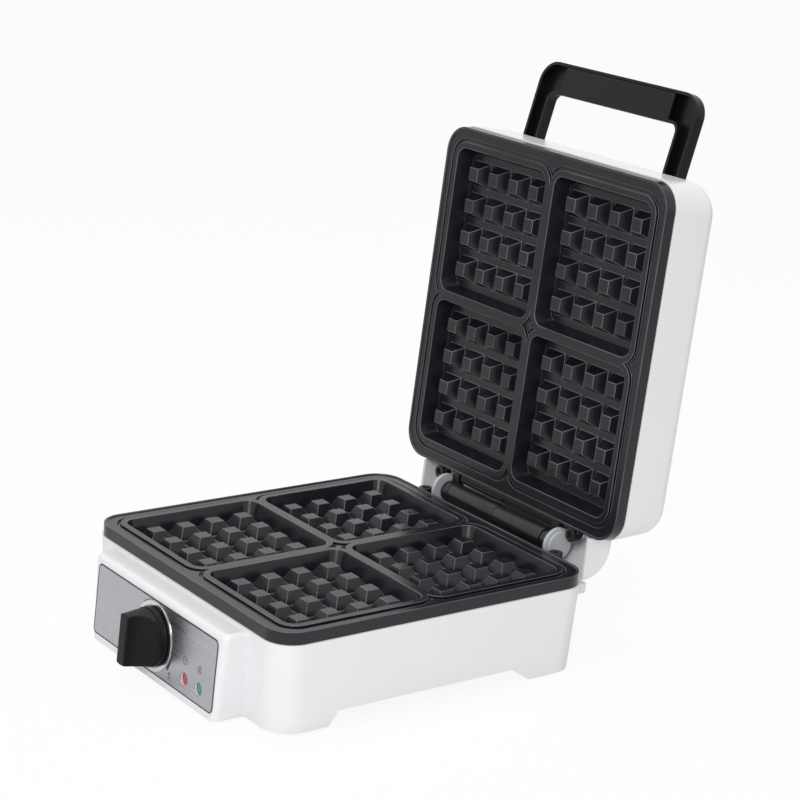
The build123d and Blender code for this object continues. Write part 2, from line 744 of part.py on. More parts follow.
def handle_outline(grow):
    """The arch's outline in its own plane, grown outwards by a margin."""
    half = HANDLE_HALF + grow
    reach = HANDLE_REACH + grow
    low = -HANDLE_ROOT
    outer = Pos(0, (reach + low) / 2) * Rectangle(2 * half, reach - low)
    corners = outer.vertices().group_by(Axis.Y)[-1]
    outer = fillet(corners, 17 + grow)
    in_half = HANDLE_HALF - HANDLE_LEG - grow
    in_top = HANDLE_REACH - GRIP_H - grow
    inner = Pos(0, (in_top + low - 2) / 2) * Rectangle(2 * in_half, in_top - low + 2)
    inner = fillet(inner.vertices().group_by(Axis.Y)[-1], max(6 - grow, 1))
    return outer - inner


def handle_shell():
    """An arched handle moulded as a channel that opens towards the plates."""
    near = handle_plane()
    arch = extrude(near * handle_outline(0), -HANDLE_T)
    far_face = arch.faces().sort_by(handle_axis())[0]
    arch = fillet(far_face.outer_wire().edges(), 2.5)
    channel = near * handle_outline(-HANDLE_WALL)
    arch -= extrude(channel, -(HANDLE_T - 2.4))
    half = COVER_HALF + 0.4
    top = HANDLE_REACH - 2.2
    low = HANDLE_REACH - GRIP_H
    seat = near * Pos(0, (low + top) / 2 - 0.5) * Rectangle(2 * half, top - low + 1.4)
    arch -= extrude(seat, -2.4)
    plug_len = 9.0
    for u in leg_mids():
        plug = near * Pos(u, plug_len / 2 - HANDLE_ROOT) * Rectangle(HANDLE_LEG - 2, plug_len)
        arch += extrude(plug, -HANDLE_T + 1)
        arch -= extrude(leg_seat(u) * Circle(1.55), 8.2)
    return arch


def handle_axis():
    """The direction that the handle's open side faces."""
    plane = handle_plane()
    return Axis(plane.origin, plane.z_dir)


def grip_cover():
    """The flat panel that closes the grip between its two corners."""
    near = handle_plane()
    top = HANDLE_REACH - 2.4
    low = HANDLE_REACH - GRIP_H
    face = near * Pos(0, (low + top) / 2) * Rectangle(2 * COVER_HALF, top - low)
    cover = extrude(face, -COVER_T)
    rib = near.offset(-COVER_T) * Pos(0, (low + top) / 2) * (
        Rectangle(2 * COVER_HALF - 8, 15) - Rectangle(2 * COVER_HALF - 12, 11)
    )
    return cover + extrude(rib, -5.2)


def leg_mids():
    """The middles of the handle's two legs, along X."""
    mid = HANDLE_HALF - HANDLE_LEG / 2
    return (-mid, mid)


def leg_seat(u):
    """The plane of a leg's root, facing along the leg."""
    middle = handle_plane(-HANDLE_T / 2)
    origin = middle.from_local_coords(Vector(u, -HANDLE_ROOT, 0))
    return Plane(origin=origin, z_dir=middle.y_dir)


def handle_screws():
    """A screw up into the root of each leg, driven from inside the lid."""
    return group(
        extrude(leg_seat(u) * Circle(3.4), -2.2)
        + extrude(leg_seat(u).offset(-0.5) * Circle(1.5), 8.5)
        for u in leg_mids()
    )


def lid_housing():
    """The lid tray with its hinge skirt, screw bosses and the handle's openings."""
    shell = lid_shell() + lid_skirt()
    for side in (-1, 1):
        shell += post(LUG_R, side * LUG_X, LUG_Y, -TOP_Z, SKIRT_BOTTOM + SKIRT_R - 1)
        shell -= post(2.05, side * LUG_X, LUG_Y, -TOP_Z - 1, -TOP_Z + 7)
    legs = extrude(handle_plane(0.15) * handle_outline(0.15), -(HANDLE_T + 0.3))
    return shell - legs


def thermal_fuse():
    """The cut-out on the back of the upper plate, in its metal clip."""
    z = BODY_BOTTOM + PLATE_GAP / 2
    body = rod_x(2.2, -9, 9, BODY_MID, z + 3.2)
    clip = block((-4, BODY_MID - 5, z), (4, BODY_MID + 5, z + 1))
    clip += block((-4, BODY_MID - 5, z), (4, BODY_MID - 4, z + 5.4))
    return joined([body, clip + block((-4, BODY_MID - 4.2, z + 0.5), (4, BODY_MID + 2, z + 2))])


def write(node, shape):
    """Save one node where the iron stands."""
    export_step(shape.moved(STAND), f"parts/{node}.step")


def main():
    """Build every piece and write one file for each node."""
    os.makedirs("parts", exist_ok=True)
    plate = plate_casting()
    element = heating_element()
    clips = element_clips()
    tray = heat_reflector()
    tray_screws = reflector_screws()
    lug_screws = plate_screws()
    pieces = {
        "base_housing": base_housing(),
        "bottom_cover": bottom_cover(),
        "bottom_cover_screws": cover_screws(),
        "rubber_feet": rubber_feet(),
        "cord_gland": cord_gland(),
        "terminal_block": terminal_block(),
        "control_panel": control_panel(),
        "knob_bezel": knob_bezel(),
        "red_lamp_lens": lamp_lens(LENS_X[0]),
        "green_lamp_lens": lamp_lens(LENS_X[1]),
        "lamp_holders": lamp_holders(),
        "thermostat_body": thermostat_body(),
        "thermostat_bracket": thermostat_bracket(),
        "thermostat_screws": thermostat_screws(),
        "thermostat_shaft": thermostat_shaft(),
        "control_knob": control_knob(),
        "lower_plate": plate,
        "lower_heating_element": element,
        "lower_element_clips": clips,
        "lower_heat_reflector": tray,
        "lower_reflector_screws": tray_screws,
        "lower_plate_screws": lug_screws,
        "lower_hinge_knuckle": hinge_knuckle(-BARREL_HALF, -0.2, True),
        "hinge_bracket_left": hinge_bracket(-1),
        "hinge_bracket_right": hinge_bracket(1),
        "hinge_bracket_screws": bracket_screws(),
        "hinge_pin": hinge_pin(),
        "upper_plate": flipped(plate),
        "upper_heating_element": flipped(element),
        "upper_element_clips": flipped(clips),
        "upper_heat_reflector": flipped(tray),
        "upper_reflector_screws": flipped(tray_screws),
        "upper_plate_screws": flipped(lug_screws),
        "upper_hinge_knuckle": flipped(hinge_knuckle(0.2, BARREL_HALF, False)),
        "hinge_arm_left": flipped(hinge_arm(-1)),
        "hinge_arm_right": flipped(hinge_arm(1)),
        "lid_housing": opened(lid_housing()),
        "handle_shell": opened(handle_shell()),
        "handle_grip_cover": opened(grip_cover()),
        "handle_screws": opened(handle_screws()),
        "thermal_fuse": opened(thermal_fuse()),
    }
    for node, shape in pieces.items():
        write(node, shape)


main()
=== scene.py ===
"""The looks of a four-slice waffle iron that stands open, around its fixed model."""

import logging
import math
from dataclasses import dataclass
from enum import Enum
from typing import Any, Sequence

import bmesh
import bpy
from mathutils import Matrix, Vector
from mathutils.bvhtree import BVHTree


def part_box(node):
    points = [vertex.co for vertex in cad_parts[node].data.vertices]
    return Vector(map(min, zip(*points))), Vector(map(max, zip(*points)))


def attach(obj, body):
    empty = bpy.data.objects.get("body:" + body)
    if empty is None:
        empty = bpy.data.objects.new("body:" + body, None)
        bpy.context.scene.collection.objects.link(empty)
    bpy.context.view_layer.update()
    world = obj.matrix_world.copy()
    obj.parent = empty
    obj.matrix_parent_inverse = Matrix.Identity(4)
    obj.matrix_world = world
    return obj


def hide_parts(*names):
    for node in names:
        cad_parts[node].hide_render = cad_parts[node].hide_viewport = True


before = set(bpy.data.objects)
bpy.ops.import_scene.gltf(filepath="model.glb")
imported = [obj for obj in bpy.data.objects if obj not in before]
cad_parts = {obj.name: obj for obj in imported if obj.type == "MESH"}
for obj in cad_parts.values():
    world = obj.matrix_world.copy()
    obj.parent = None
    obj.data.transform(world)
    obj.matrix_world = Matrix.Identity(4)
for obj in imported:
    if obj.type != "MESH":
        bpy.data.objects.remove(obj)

LOG = logging.getLogger("waffle_iron")
MM = 0.001
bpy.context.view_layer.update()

# The middle of a noise's range.
MIDDLE = 0.5

# The face attribute that marks convex rounded edges, which the non-stick coating paints lighter as a
# highlight.
HIGHLIGHT_EDGE = "painted_highlight_edge"

# Where the drawing's origin, the middle of the lower plate's front edge, lies in the frame.
STAND = Vector((0.0, -0.161, 0.075))


def mm(x: float, y: float, z: float) -> Vector:
    """A point of the drawing, given in millimetres, in the frame's metres."""
    return Vector((x, y, z)) * MM + STAND


class Slot(Enum):
    """The record's material slots."""

    WHITE = "white_housing"
    NONSTICK = "nonstick_casting"
    PANEL = "brushed_panel"
    BEZEL = "bezel_metal"
    KNOB = "black_knob"
    BLACK = "black_plastic"
    HANDLE = "black_handle"
    RED = "red_lens"
    GREEN = "green_lens"
    HINGE = "black_hinge_metal"
    BRACKET = "bracket_metal"
    STEEL = "bright_steel"
    SHEET = "grey_sheet"
    HEATER = "heater_sheath"
    RUBBER = "grey_rubber"


class Number:
    """A number on a shader socket. Arithmetic on it adds Math nodes."""

    def __init__(self, tree: "Graph", socket: bpy.types.NodeSocket) -> None:
        """Wrap an output socket of a tree."""
        self.tree = tree
        self.socket = socket

    def _math(self, operation: str, first: Any, second: Any) -> "Number":
        """The result of one Math node."""
        node = self.tree.add("ShaderNodeMath", {"operation": operation}, {0: first, 1: second})
        return Number(self.tree, node.outputs[0])

    def __add__(self, other: Any) -> "Number":
        """Add."""
        return self._math("ADD", self, other)

    def __radd__(self, other: Any) -> "Number":
        """Add to a plain number."""
        return self._math("ADD", other, self)

    def __sub__(self, other: Any) -> "Number":
        """Subtract."""
        return self._math("SUBTRACT", self, other)

    def __rsub__(self, other: Any) -> "Number":
        """Subtract from a plain number."""
        return self._math("SUBTRACT", other, self)

    def __mul__(self, other: Any) -> "Number":
        """Multiply."""
        return self._math("MULTIPLY", self, other)

    def __rmul__(self, other: Any) -> "Number":
        """Multiply a plain number."""
        return self._math("MULTIPLY", other, self)

    def larger(self, other: Any) -> "Number":
        """The larger of this and another number."""
        return self._math("MAXIMUM", self, other)


class Graph:
    """A node tree under construction, of a material or of the world."""

    def __init__(self, node_tree: bpy.types.NodeTree) -> None:
        """Empty a node tree.

        Args:
            node_tree: the node tree.
        """
        self.nodes = node_tree.nodes
        self.links = node_tree.links
        self.nodes.clear()

    def add(
        self,
        kind: str,
        settings: dict[str, Any] | None = None,
        inputs: dict[int | str, Any] | None = None,
    ) -> bpy.types.Node:
        """Make a node of any type.

        Args:
            kind: the node's type.
            settings: its properties.
            inputs: values, sockets or numbers for its sockets, by name or index.

        Returns:
            The node.
        """
        node = self.nodes.new(kind)
        for key, value in (settings or {}).items():
            setattr(node, key, value)
        for key, value in (inputs or {}).items():
            socket = value.socket if isinstance(value, Number) else value
            if isinstance(socket, bpy.types.NodeSocket):
                self.links.new(socket, node.inputs[key])
            else:
                node.inputs[key].default_value = socket
        return node


class Tree(Graph):
    """A material's node tree under construction."""

    def __init__(self, name: str) -> None:
        """Start an empty material.

        Args:
            name: the material's name.
        """
        self.material = bpy.data.materials.new(name)
        self.material.use_nodes = True
        super().__init__(self.material.node_tree)
        self.point = self.add("ShaderNodeTexCoord").outputs["Object"]

    def noise(self, scale: float, detail: float = 2.0, stretch: Vector | None = None) -> Number:
        """Noise over the object, with about scale features in a metre.

        Args:
            scale: features in a metre.
            detail: octaves.
            stretch: a factor for each axis, small along the direction that streaks follow.

        Returns:
            The noise, from 0 to 1.
        """
        vector: Any = self.point
        if stretch is not None:
            inputs = {"Vector": vector, "Scale": stretch}
            vector = self.add("ShaderNodeMapping", {"vector_type": "POINT"}, inputs).outputs[0]
        settings = {"noise_dimensions": "3D"}
        inputs = {"Vector": vector, "Scale": scale, "Detail": detail}
        return Number(self, self.add("ShaderNodeTexNoise", settings, inputs).outputs[0])

    def blend(self, share: Any, first: Any, second: Sequence[float]) -> Any:
        """A colour between two, by a share that varies over the surface."""
        settings = {"data_type": "RGBA", "clamp_factor": True}
        start = first if isinstance(first, bpy.types.NodeSocket) else (*first, 1.0)
        inputs = {0: share, 6: start, 7: (*second, 1.0)}
        return self.add("ShaderNodeMix", settings, inputs).outputs[2]

    def attribute(self, name: str) -> Number:
        """A number that the mesh's faces carry, or 0 where they carry none."""
        settings = {"attribute_type": "GEOMETRY", "attribute_name": name}
        return Number(self, self.add("ShaderNodeAttribute", settings).outputs["Fac"])

    def ramp(self, value: Number, low: float, high: float) -> Number:
        """Stretch the part of a value between low and high to the range from 0 to 1."""
        inputs = {"Value": value, "From Min": low, "From Max": high}
        return Number(self, self.add("ShaderNodeMapRange", {"clamp": True}, inputs).outputs[0])

    def bump(self, height: Number, strength: float, distance: float) -> Any:
        """A normal from a height."""
        inputs = {"Strength": strength, "Distance": distance, "Height": height}
        return self.add("ShaderNodeBump", {}, inputs).outputs[0]

    def finish(self, inputs: dict[str, Any]) -> bpy.types.Material:
        """Close the tree with a Principled shader.

        Args:
            inputs: the shader's values and links, by name.

        Returns:
            The finished material.
        """
        shader = self.add("ShaderNodeBsdfPrincipled", {}, inputs)
        self.add("ShaderNodeOutputMaterial", {}, {"Surface": shader.outputs[0]})
        return self.material


def scaled(colour: Sequence[float], share: float) -> tuple[float, ...]:
    """A colour with every channel multiplied by a share."""
    return tuple(channel * share for channel in colour)


@dataclass(frozen=True)
class MouldedPlastic:
    """Injection moulded plastic: slight colour drift, fine grain, uneven gloss."""

    name: str
    colour: tuple[float, float, float]
    roughness: float
    grain_scale: float = 900.0
    grain_depth: float = 0.05
    drift: float = 0.06
    coat: float = 0.0
    shine: float = 0.5
    cloud_scale: float = 14.0
    cloud_range: tuple[float, float] = (0.35, 0.7)
    cloud_gloss: float = 0.1
    grain_gloss: float = 0.06
    grain_height: float = 0.0004
    coat_roughness: float = 0.08

    def build(self) -> bpy.types.Material:
        """Make the material."""
        tree = Tree(self.name)
        cloud = tree.noise(self.cloud_scale, 3.0)
        grain = tree.noise(self.grain_scale, 3.0)
        darker = scaled(self.colour, 1 - self.drift)
        colour = tree.blend(tree.ramp(cloud, *self.cloud_range), self.colour, darker)
        uneven = (cloud - MIDDLE) * self.cloud_gloss
        return tree.finish(
            {
                "Base Color": colour,
                "Roughness": self.roughness + uneven + (grain - MIDDLE) * self.grain_gloss,
                "Normal": tree.bump(grain, self.grain_depth, self.grain_height),
                "Specular IOR Level": self.shine,
                "Coat Weight": self.coat,
                "Coat Roughness": self.coat_roughness,
            }
        )


@dataclass(frozen=True)
class NonStick:
    """A dark sprayed coating on cast aluminium: fine pits, faint flecks, satin sheen, and a painted
    highlight on convex rounded edges.
    """

    name: str = "nonstick_coating"
    colour: tuple[float, float, float] = (0.0085, 0.0087, 0.0122)
    fleck: tuple[float, float, float] = (0.036, 0.037, 0.046)
    # The lighter colour painted on convex rounded edges as a highlight.
    edge_highlight: tuple[float, float, float] = (0.13, 0.132, 0.145)
    roughness: float = 0.24
    shine: float = 0.4
    cloud_scale: float = 22.0
    pit_scale: float = 1400.0
    fleck_scale: float = 2600.0
    fleck_range: tuple[float, float] = (0.62, 0.75)
    fleck_share: float = 0.35
    cloud_share: float = 0.12
    # The cloud noise range that breaks up the painted edge highlight.
    highlight_range: tuple[float, float] = (0.2, 0.6)
    cloud_gloss: float = 0.12
    pit_gloss: float = 0.1
    pit_depth: float = 0.1
    pit_height: float = 0.0003

    def build(self) -> bpy.types.Material:
        """Make the material."""
        tree = Tree(self.name)
        cloud = tree.noise(self.cloud_scale, 4.0)
        pits = tree.noise(self.pit_scale, 4.0)
        flecks = tree.ramp(tree.noise(self.fleck_scale, 1.0), *self.fleck_range)
        share = flecks * self.fleck_share + cloud * self.cloud_share
        ground = tree.blend(share, self.colour, self.fleck)
        # Painted highlight: convex rounded edges get the lighter colour, broken up by the cloud
        # noise.
        wear = tree.attribute(HIGHLIGHT_EDGE) * tree.ramp(cloud, *self.highlight_range)
        uneven = (cloud - MIDDLE) * self.cloud_gloss
        return tree.finish(
            {
                "Base Color": tree.blend(wear, ground, self.edge_highlight),
                "Roughness": self.roughness + uneven + (pits - MIDDLE) * self.pit_gloss,
                "Specular IOR Level": self.shine,
                "Normal": tree.bump(pits, self.pit_depth, self.pit_height),
            }
        )


@dataclass(frozen=True)
class BrushedMetal:
    """Sheet metal brushed along one axis."""

    name: str
    colour: tuple[float, float, float]
    roughness: float = 0.3
    streak: tuple[float, float, float] = (6.0, 900.0, 900.0)
    depth: float = 0.08
    cloud_scale: float = 18.0
    darkest: float = 0.82
    streak_share: float = 0.7
    cloud_share: float = 0.3
    streak_gloss: float = 0.22
    cloud_gloss: float = 0.06
    streak_height: float = 0.0002

    def build(self) -> bpy.types.Material:
        """Make the material."""
        tree = Tree(self.name)
        streaks = tree.noise(1.0, 3.0, Vector(self.streak))
        cloud = tree.noise(self.cloud_scale, 2.0)
        share = streaks * self.streak_share + cloud * self.cloud_share
        uneven = (streaks - MIDDLE) * self.streak_gloss
        return tree.finish(
            {
                "Base Color": tree.blend(share, self.colour, scaled(self.colour, self.darkest)),
                "Metallic": 1.0,
                "Roughness": self.roughness + uneven + (cloud - MIDDLE) * self.cloud_gloss,
                "Normal": tree.bump(streaks, self.depth, self.streak_height),
            }
        )


@dataclass(frozen=True)
class PaintedMetal:
    """Powder painted metal with a faint orange peel."""

    name: str
    colour: tuple[float, float, float]
    roughness: float = 0.34
    peel: float = 0.08
    peel_scale: float = 700.0
    peel_height: float = 0.0004
    cloud_scale: float = 40.0
    cloud_range: tuple[float, float] = (0.3, 0.7)
    cloud_gloss: float = 0.12
    darkest: float = 0.8

    def build(self) -> bpy.types.Material:
        """Make the material."""
        tree = Tree(self.name)
        peel = tree.noise(self.peel_scale, 3.0)
        cloud = tree.noise(self.cloud_scale, 2.0)
        share = tree.ramp(cloud, *self.cloud_range)
        return tree.finish(
            {
                "Base Color": tree.blend(share, self.colour, scaled(self.colour, self.darkest)),
                "Roughness": self.roughness + (cloud - MIDDLE) * self.cloud_gloss,
                "Normal": tree.bump(peel, self.peel, self.peel_height),
            }
        )


@dataclass(frozen=True)
class LampLens:
    """A small coloured lens with a moulded pattern behind a smooth face."""

    name: str
    colour: tuple[float, float, float]
    roughness: float = 0.18
    cell_scale: float = 1100.0
    cell_range: tuple[float, float] = (0.35, 0.65)
    cell_gloss: float = 0.1
    cell_depth: float = 0.1
    cell_height: float = 0.0003
    darkest: float = 0.55
    coat: float = 0.6
    coat_roughness: float = 0.05

    def build(self) -> bpy.types.Material:
        """Make the material."""
        tree = Tree(self.name)
        cells = tree.noise(self.cell_scale, 1.0)
        share = tree.ramp(cells, *self.cell_range)
        return tree.finish(
            {
                "Base Color": tree.blend(share, self.colour, scaled(self.colour, self.darkest)),
                "Roughness": self.roughness + (cells - MIDDLE) * self.cell_gloss,
                "Normal": tree.bump(cells, self.cell_depth, self.cell_height),
                "Coat Weight": self.coat,
                "Coat Roughness": self.coat_roughness,
            }
        )


FINISHES = {
    Slot.WHITE: MouldedPlastic(
        name="white_plastic",
        colour=(0.84, 0.845, 0.86),
        roughness=0.3,
        grain_scale=60.0,
        grain_depth=0.02,
        drift=0.012,
        coat=0.25,
    ),
    Slot.NONSTICK: NonStick(),
    Slot.PANEL: BrushedMetal(
        name="brushed_panel", colour=(0.5, 0.505, 0.53), roughness=0.27, depth=0.03
    ),
    Slot.BEZEL: BrushedMetal(
        name="bezel_ring",
        colour=(0.75, 0.76, 0.77),
        roughness=0.16,
        streak=(60.0, 60.0, 60.0),
        depth=0.03,
    ),
    Slot.KNOB: MouldedPlastic(
        name="knob_plastic",
        colour=(0.003, 0.003, 0.0033),
        roughness=0.45,
        grain_scale=1500.0,
        grain_depth=0.1,
        drift=0.1,
        shine=0.2,
    ),
    Slot.BLACK: MouldedPlastic(
        name="black_plastic",
        colour=(0.012, 0.012, 0.013),
        roughness=0.42,
        grain_scale=1100.0,
        grain_depth=0.12,
    ),
    Slot.HANDLE: MouldedPlastic(
        name="handle_plastic",
        colour=(0.005, 0.005, 0.006),
        roughness=0.3,
        grain_scale=800.0,
        grain_depth=0.03,
        drift=0.1,
        shine=0.22,
    ),
    Slot.RED: LampLens(name="red_lens", colour=(0.5, 0.035, 0.045)),
    Slot.GREEN: LampLens(name="green_lens", colour=(0.03, 0.27, 0.21)),
    Slot.HINGE: PaintedMetal(name="black_hinge_paint", colour=(0.008, 0.008, 0.009)),
    Slot.BRACKET: PaintedMetal(
        name="pale_bracket_paint", colour=(0.58, 0.6, 0.63), roughness=0.3
    ),
    Slot.STEEL: BrushedMetal(
        name="zinc_steel", colour=(0.6, 0.6, 0.59), streak=(200.0, 200.0, 200.0), depth=0.05
    ),
    Slot.SHEET: BrushedMetal(
        name="plated_sheet",
        colour=(0.55, 0.56, 0.56),
        roughness=0.4,
        streak=(8.0, 500.0, 500.0),
        depth=0.05,
    ),
    Slot.HEATER: BrushedMetal(
        name="heater_sheath",
        colour=(0.3, 0.27, 0.24),
        roughness=0.5,
        streak=(120.0, 120.0, 120.0),
        depth=0.1,
    ),
    Slot.RUBBER: MouldedPlastic(
        name="pad_rubber",
        colour=(0.3, 0.3, 0.31),
        roughness=0.7,
        grain_scale=1300.0,
        grain_depth=0.2,
    ),
}

# Dark print, also used for the painted shadow in the gap round the panel.
INK_AND_GAP_SHADOW = MouldedPlastic(
    name="panel_ink_and_gap_shadow",
    colour=(0.02, 0.02, 0.022),
    roughness=0.5,
    grain_scale=1600.0,
    grain_depth=0.05,
)


class Wardrobe:
    """The finished materials, each made once."""

    def __init__(self) -> None:
        """Build every finish."""
        self.materials = {slot: finish.build() for slot, finish in FINISHES.items()}
        # The ink also paints the shadow in the gap round the panel.
        self.ink = INK_AND_GAP_SHADOW.build()

    def dress(self, node: str, slot: Slot) -> None:
        """Give a carried-over node its finish.

        Args:
            node: the node's name.
            slot: its material slot.
        """
        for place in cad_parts[node].material_slots:
            place.material = self.materials[slot]

    def wear(self, piece: bpy.types.Object, slot: Slot, body: str, *nodes: str) -> None:
        """Dress a new piece, put it on its body and let it stand for nodes.

        Args:
            piece: the new object.
            slot: its material slot.
            body: the body that it moves with.
            nodes: the nodes that it stands for.
        """
        if not piece.data.materials:
            piece.data.materials.append(self.materials[slot])
        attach(piece, body)
        if nodes:
            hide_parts(*nodes)
        LOG.info("%s: %d faces", piece.name, len(piece.data.polygons))


def shown(name: str, shape: bmesh.types.BMesh, sharp: float = 40.0) -> bpy.types.Object:
    """Turn a bmesh into an object with smooth shading between its sharp edges.

    Args:
        name: the object's name.
        shape: the mesh, which is freed.
        sharp: the angle in degrees past which an edge stays sharp.

    Returns:
        The object, at the origin.
    """
    mesh = bpy.data.meshes.new(name)
    shape.to_mesh(mesh)
    shape.free()
    mesh.shade_smooth()
    mesh.set_sharp_from_angle(angle=math.radians(sharp))
    piece = bpy.data.objects.new(name, mesh)
    bpy.context.scene.collection.objects.link(piece)
    return piece


@dataclass
class SoftEdges:
    """A node's own shape with its doubles merged and its edges rounded."""

    node: str
    width: float = 0.5
    segments: int = 2
    corner: float = 32.0
    flat: float = 0.05
    stray: float = 0.5
    suffix: str = "_soft"

    def shape(self) -> bmesh.types.BMesh:
        """The merged copy of the node, with flat areas joined and sharp edges rounded."""
        shape = bmesh.new()
        shape.from_mesh(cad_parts[self.node].data)
        bmesh.ops.remove_doubles(shape, verts=shape.verts, dist=2e-6)
        bmesh.ops.dissolve_limit(
            shape,
            angle_limit=math.radians(self.flat),
            use_dissolve_boundaries=False,
            verts=shape.verts,
            edges=shape.edges,
        )
        surface = BVHTree.FromBMesh(shape)
        # Marks the convex rounded edges, which the non-stick coating lightens as a painted
        # highlight.
        edge_highlight = shape.faces.layers.float.new(HIGHLIGHT_EDGE)
        if self.width > 0:
            for face in rounded(shape, self.width, self.segments, self.corner, clamp=False):
                if max(edge.calc_face_angle_signed(0.0) for edge in face.edges) > 0:
                    face[edge_highlight] = 1.0
        low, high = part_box(self.node)
        for vert in shape.verts:
            near, _, _, distance = surface.find_nearest(vert.co)
            if distance > self.stray * self.width * MM:
                vert.co = near
            vert.co = Vector(min(max(c, a), b) for c, a, b in zip(vert.co, low, high))
        return shape

    def build(self) -> bpy.types.Object:
        """Make the object, with normals that favour the large faces."""
        piece = shown(self.node + self.suffix, self.shape())
        weighted = piece.modifiers.new("weighted", "WEIGHTED_NORMAL")
        weighted.keep_sharp = True
        return piece


@dataclass
class Housing:
    """The white shells and what closes them."""

    wardrobe: Wardrobe
    base_edge: float = 0.15
    lid_edge: float = 0.4

    def build(self) -> None:
        """Round the two shells' edges and dress what is screwed to them."""
        for node, body, edge in (
            ("base_housing", "base", self.base_edge),
            ("lid_housing", "lid", self.lid_edge),
        ):
            piece = SoftEdges(node, edge).build()
            self.wardrobe.wear(piece, Slot.WHITE, body, node)
        self.wardrobe.dress("bottom_cover", Slot.SHEET)
        self.wardrobe.dress("bottom_cover_screws", Slot.STEEL)
        self.wardrobe.dress("cord_gland", Slot.BLACK)
        self.wardrobe.dress("terminal_block", Slot.BLACK)
        self.wardrobe.wear(SoftEdges("rubber_feet", 0.3).build(), Slot.RUBBER, "base", "rubber_feet")


@dataclass
class WafflePlates:
    """The two cast plates with the heaters behind them."""

    wardrobe: Wardrobe
    edge: float = 0.4

    def build(self) -> None:
        """Round the castings' edges and dress the heaters."""
        for side, body in (("lower", "base"), ("upper", "lid")):
            piece = SoftEdges(f"{side}_plate", self.edge).build()
            self.wardrobe.wear(piece, Slot.NONSTICK, body, f"{side}_plate")
            self.wardrobe.dress(f"{side}_heating_element", Slot.HEATER)
            self.wardrobe.dress(f"{side}_element_clips", Slot.SHEET)
            self.wardrobe.dress(f"{side}_heat_reflector", Slot.SHEET)
            self.wardrobe.dress(f"{side}_reflector_screws", Slot.STEEL)
        self.wardrobe.dress("thermal_fuse", Slot.STEEL)


def rounded(
    shape: bmesh.types.BMesh,
    width: float,
    segments: int = 3,
    corner: float = 40.0,
    clamp: bool = True,
) -> list[bmesh.types.BMFace]:
    """Round a shape's edges that are sharper than an angle.

    Args:
        shape: the mesh.
        width: the rounding in millimetres.
        segments: steps across it.
        corner: the angle in degrees.
        clamp: whether a rounding stops where it meets another.

    Returns:
        The faces across the rounded edges.
    """
    limit = math.radians(corner)
    edges = [e for e in shape.edges if e.is_manifold and e.calc_face_angle() > limit]
    strips = bmesh.ops.bevel(
        shape,
        geom=edges,
        offset=width * MM,
        offset_type="OFFSET",
        affect="EDGES",
        segments=segments,
        profile=0.5,
        material=-1,
        clamp_overlap=clamp,
    )
    return strips["faces"]


def joined(*parts: bmesh.types.BMesh) -> bmesh.types.BMesh:
    """Put several shapes into one mesh, and free them."""
    whole = bmesh.new()
    for part in parts:
        mesh = bpy.data.meshes.new("part")
        part.to_mesh(mesh)
        part.free()
        whole.from_mesh(mesh)
        bpy.data.meshes.remove(mesh)
    return whole


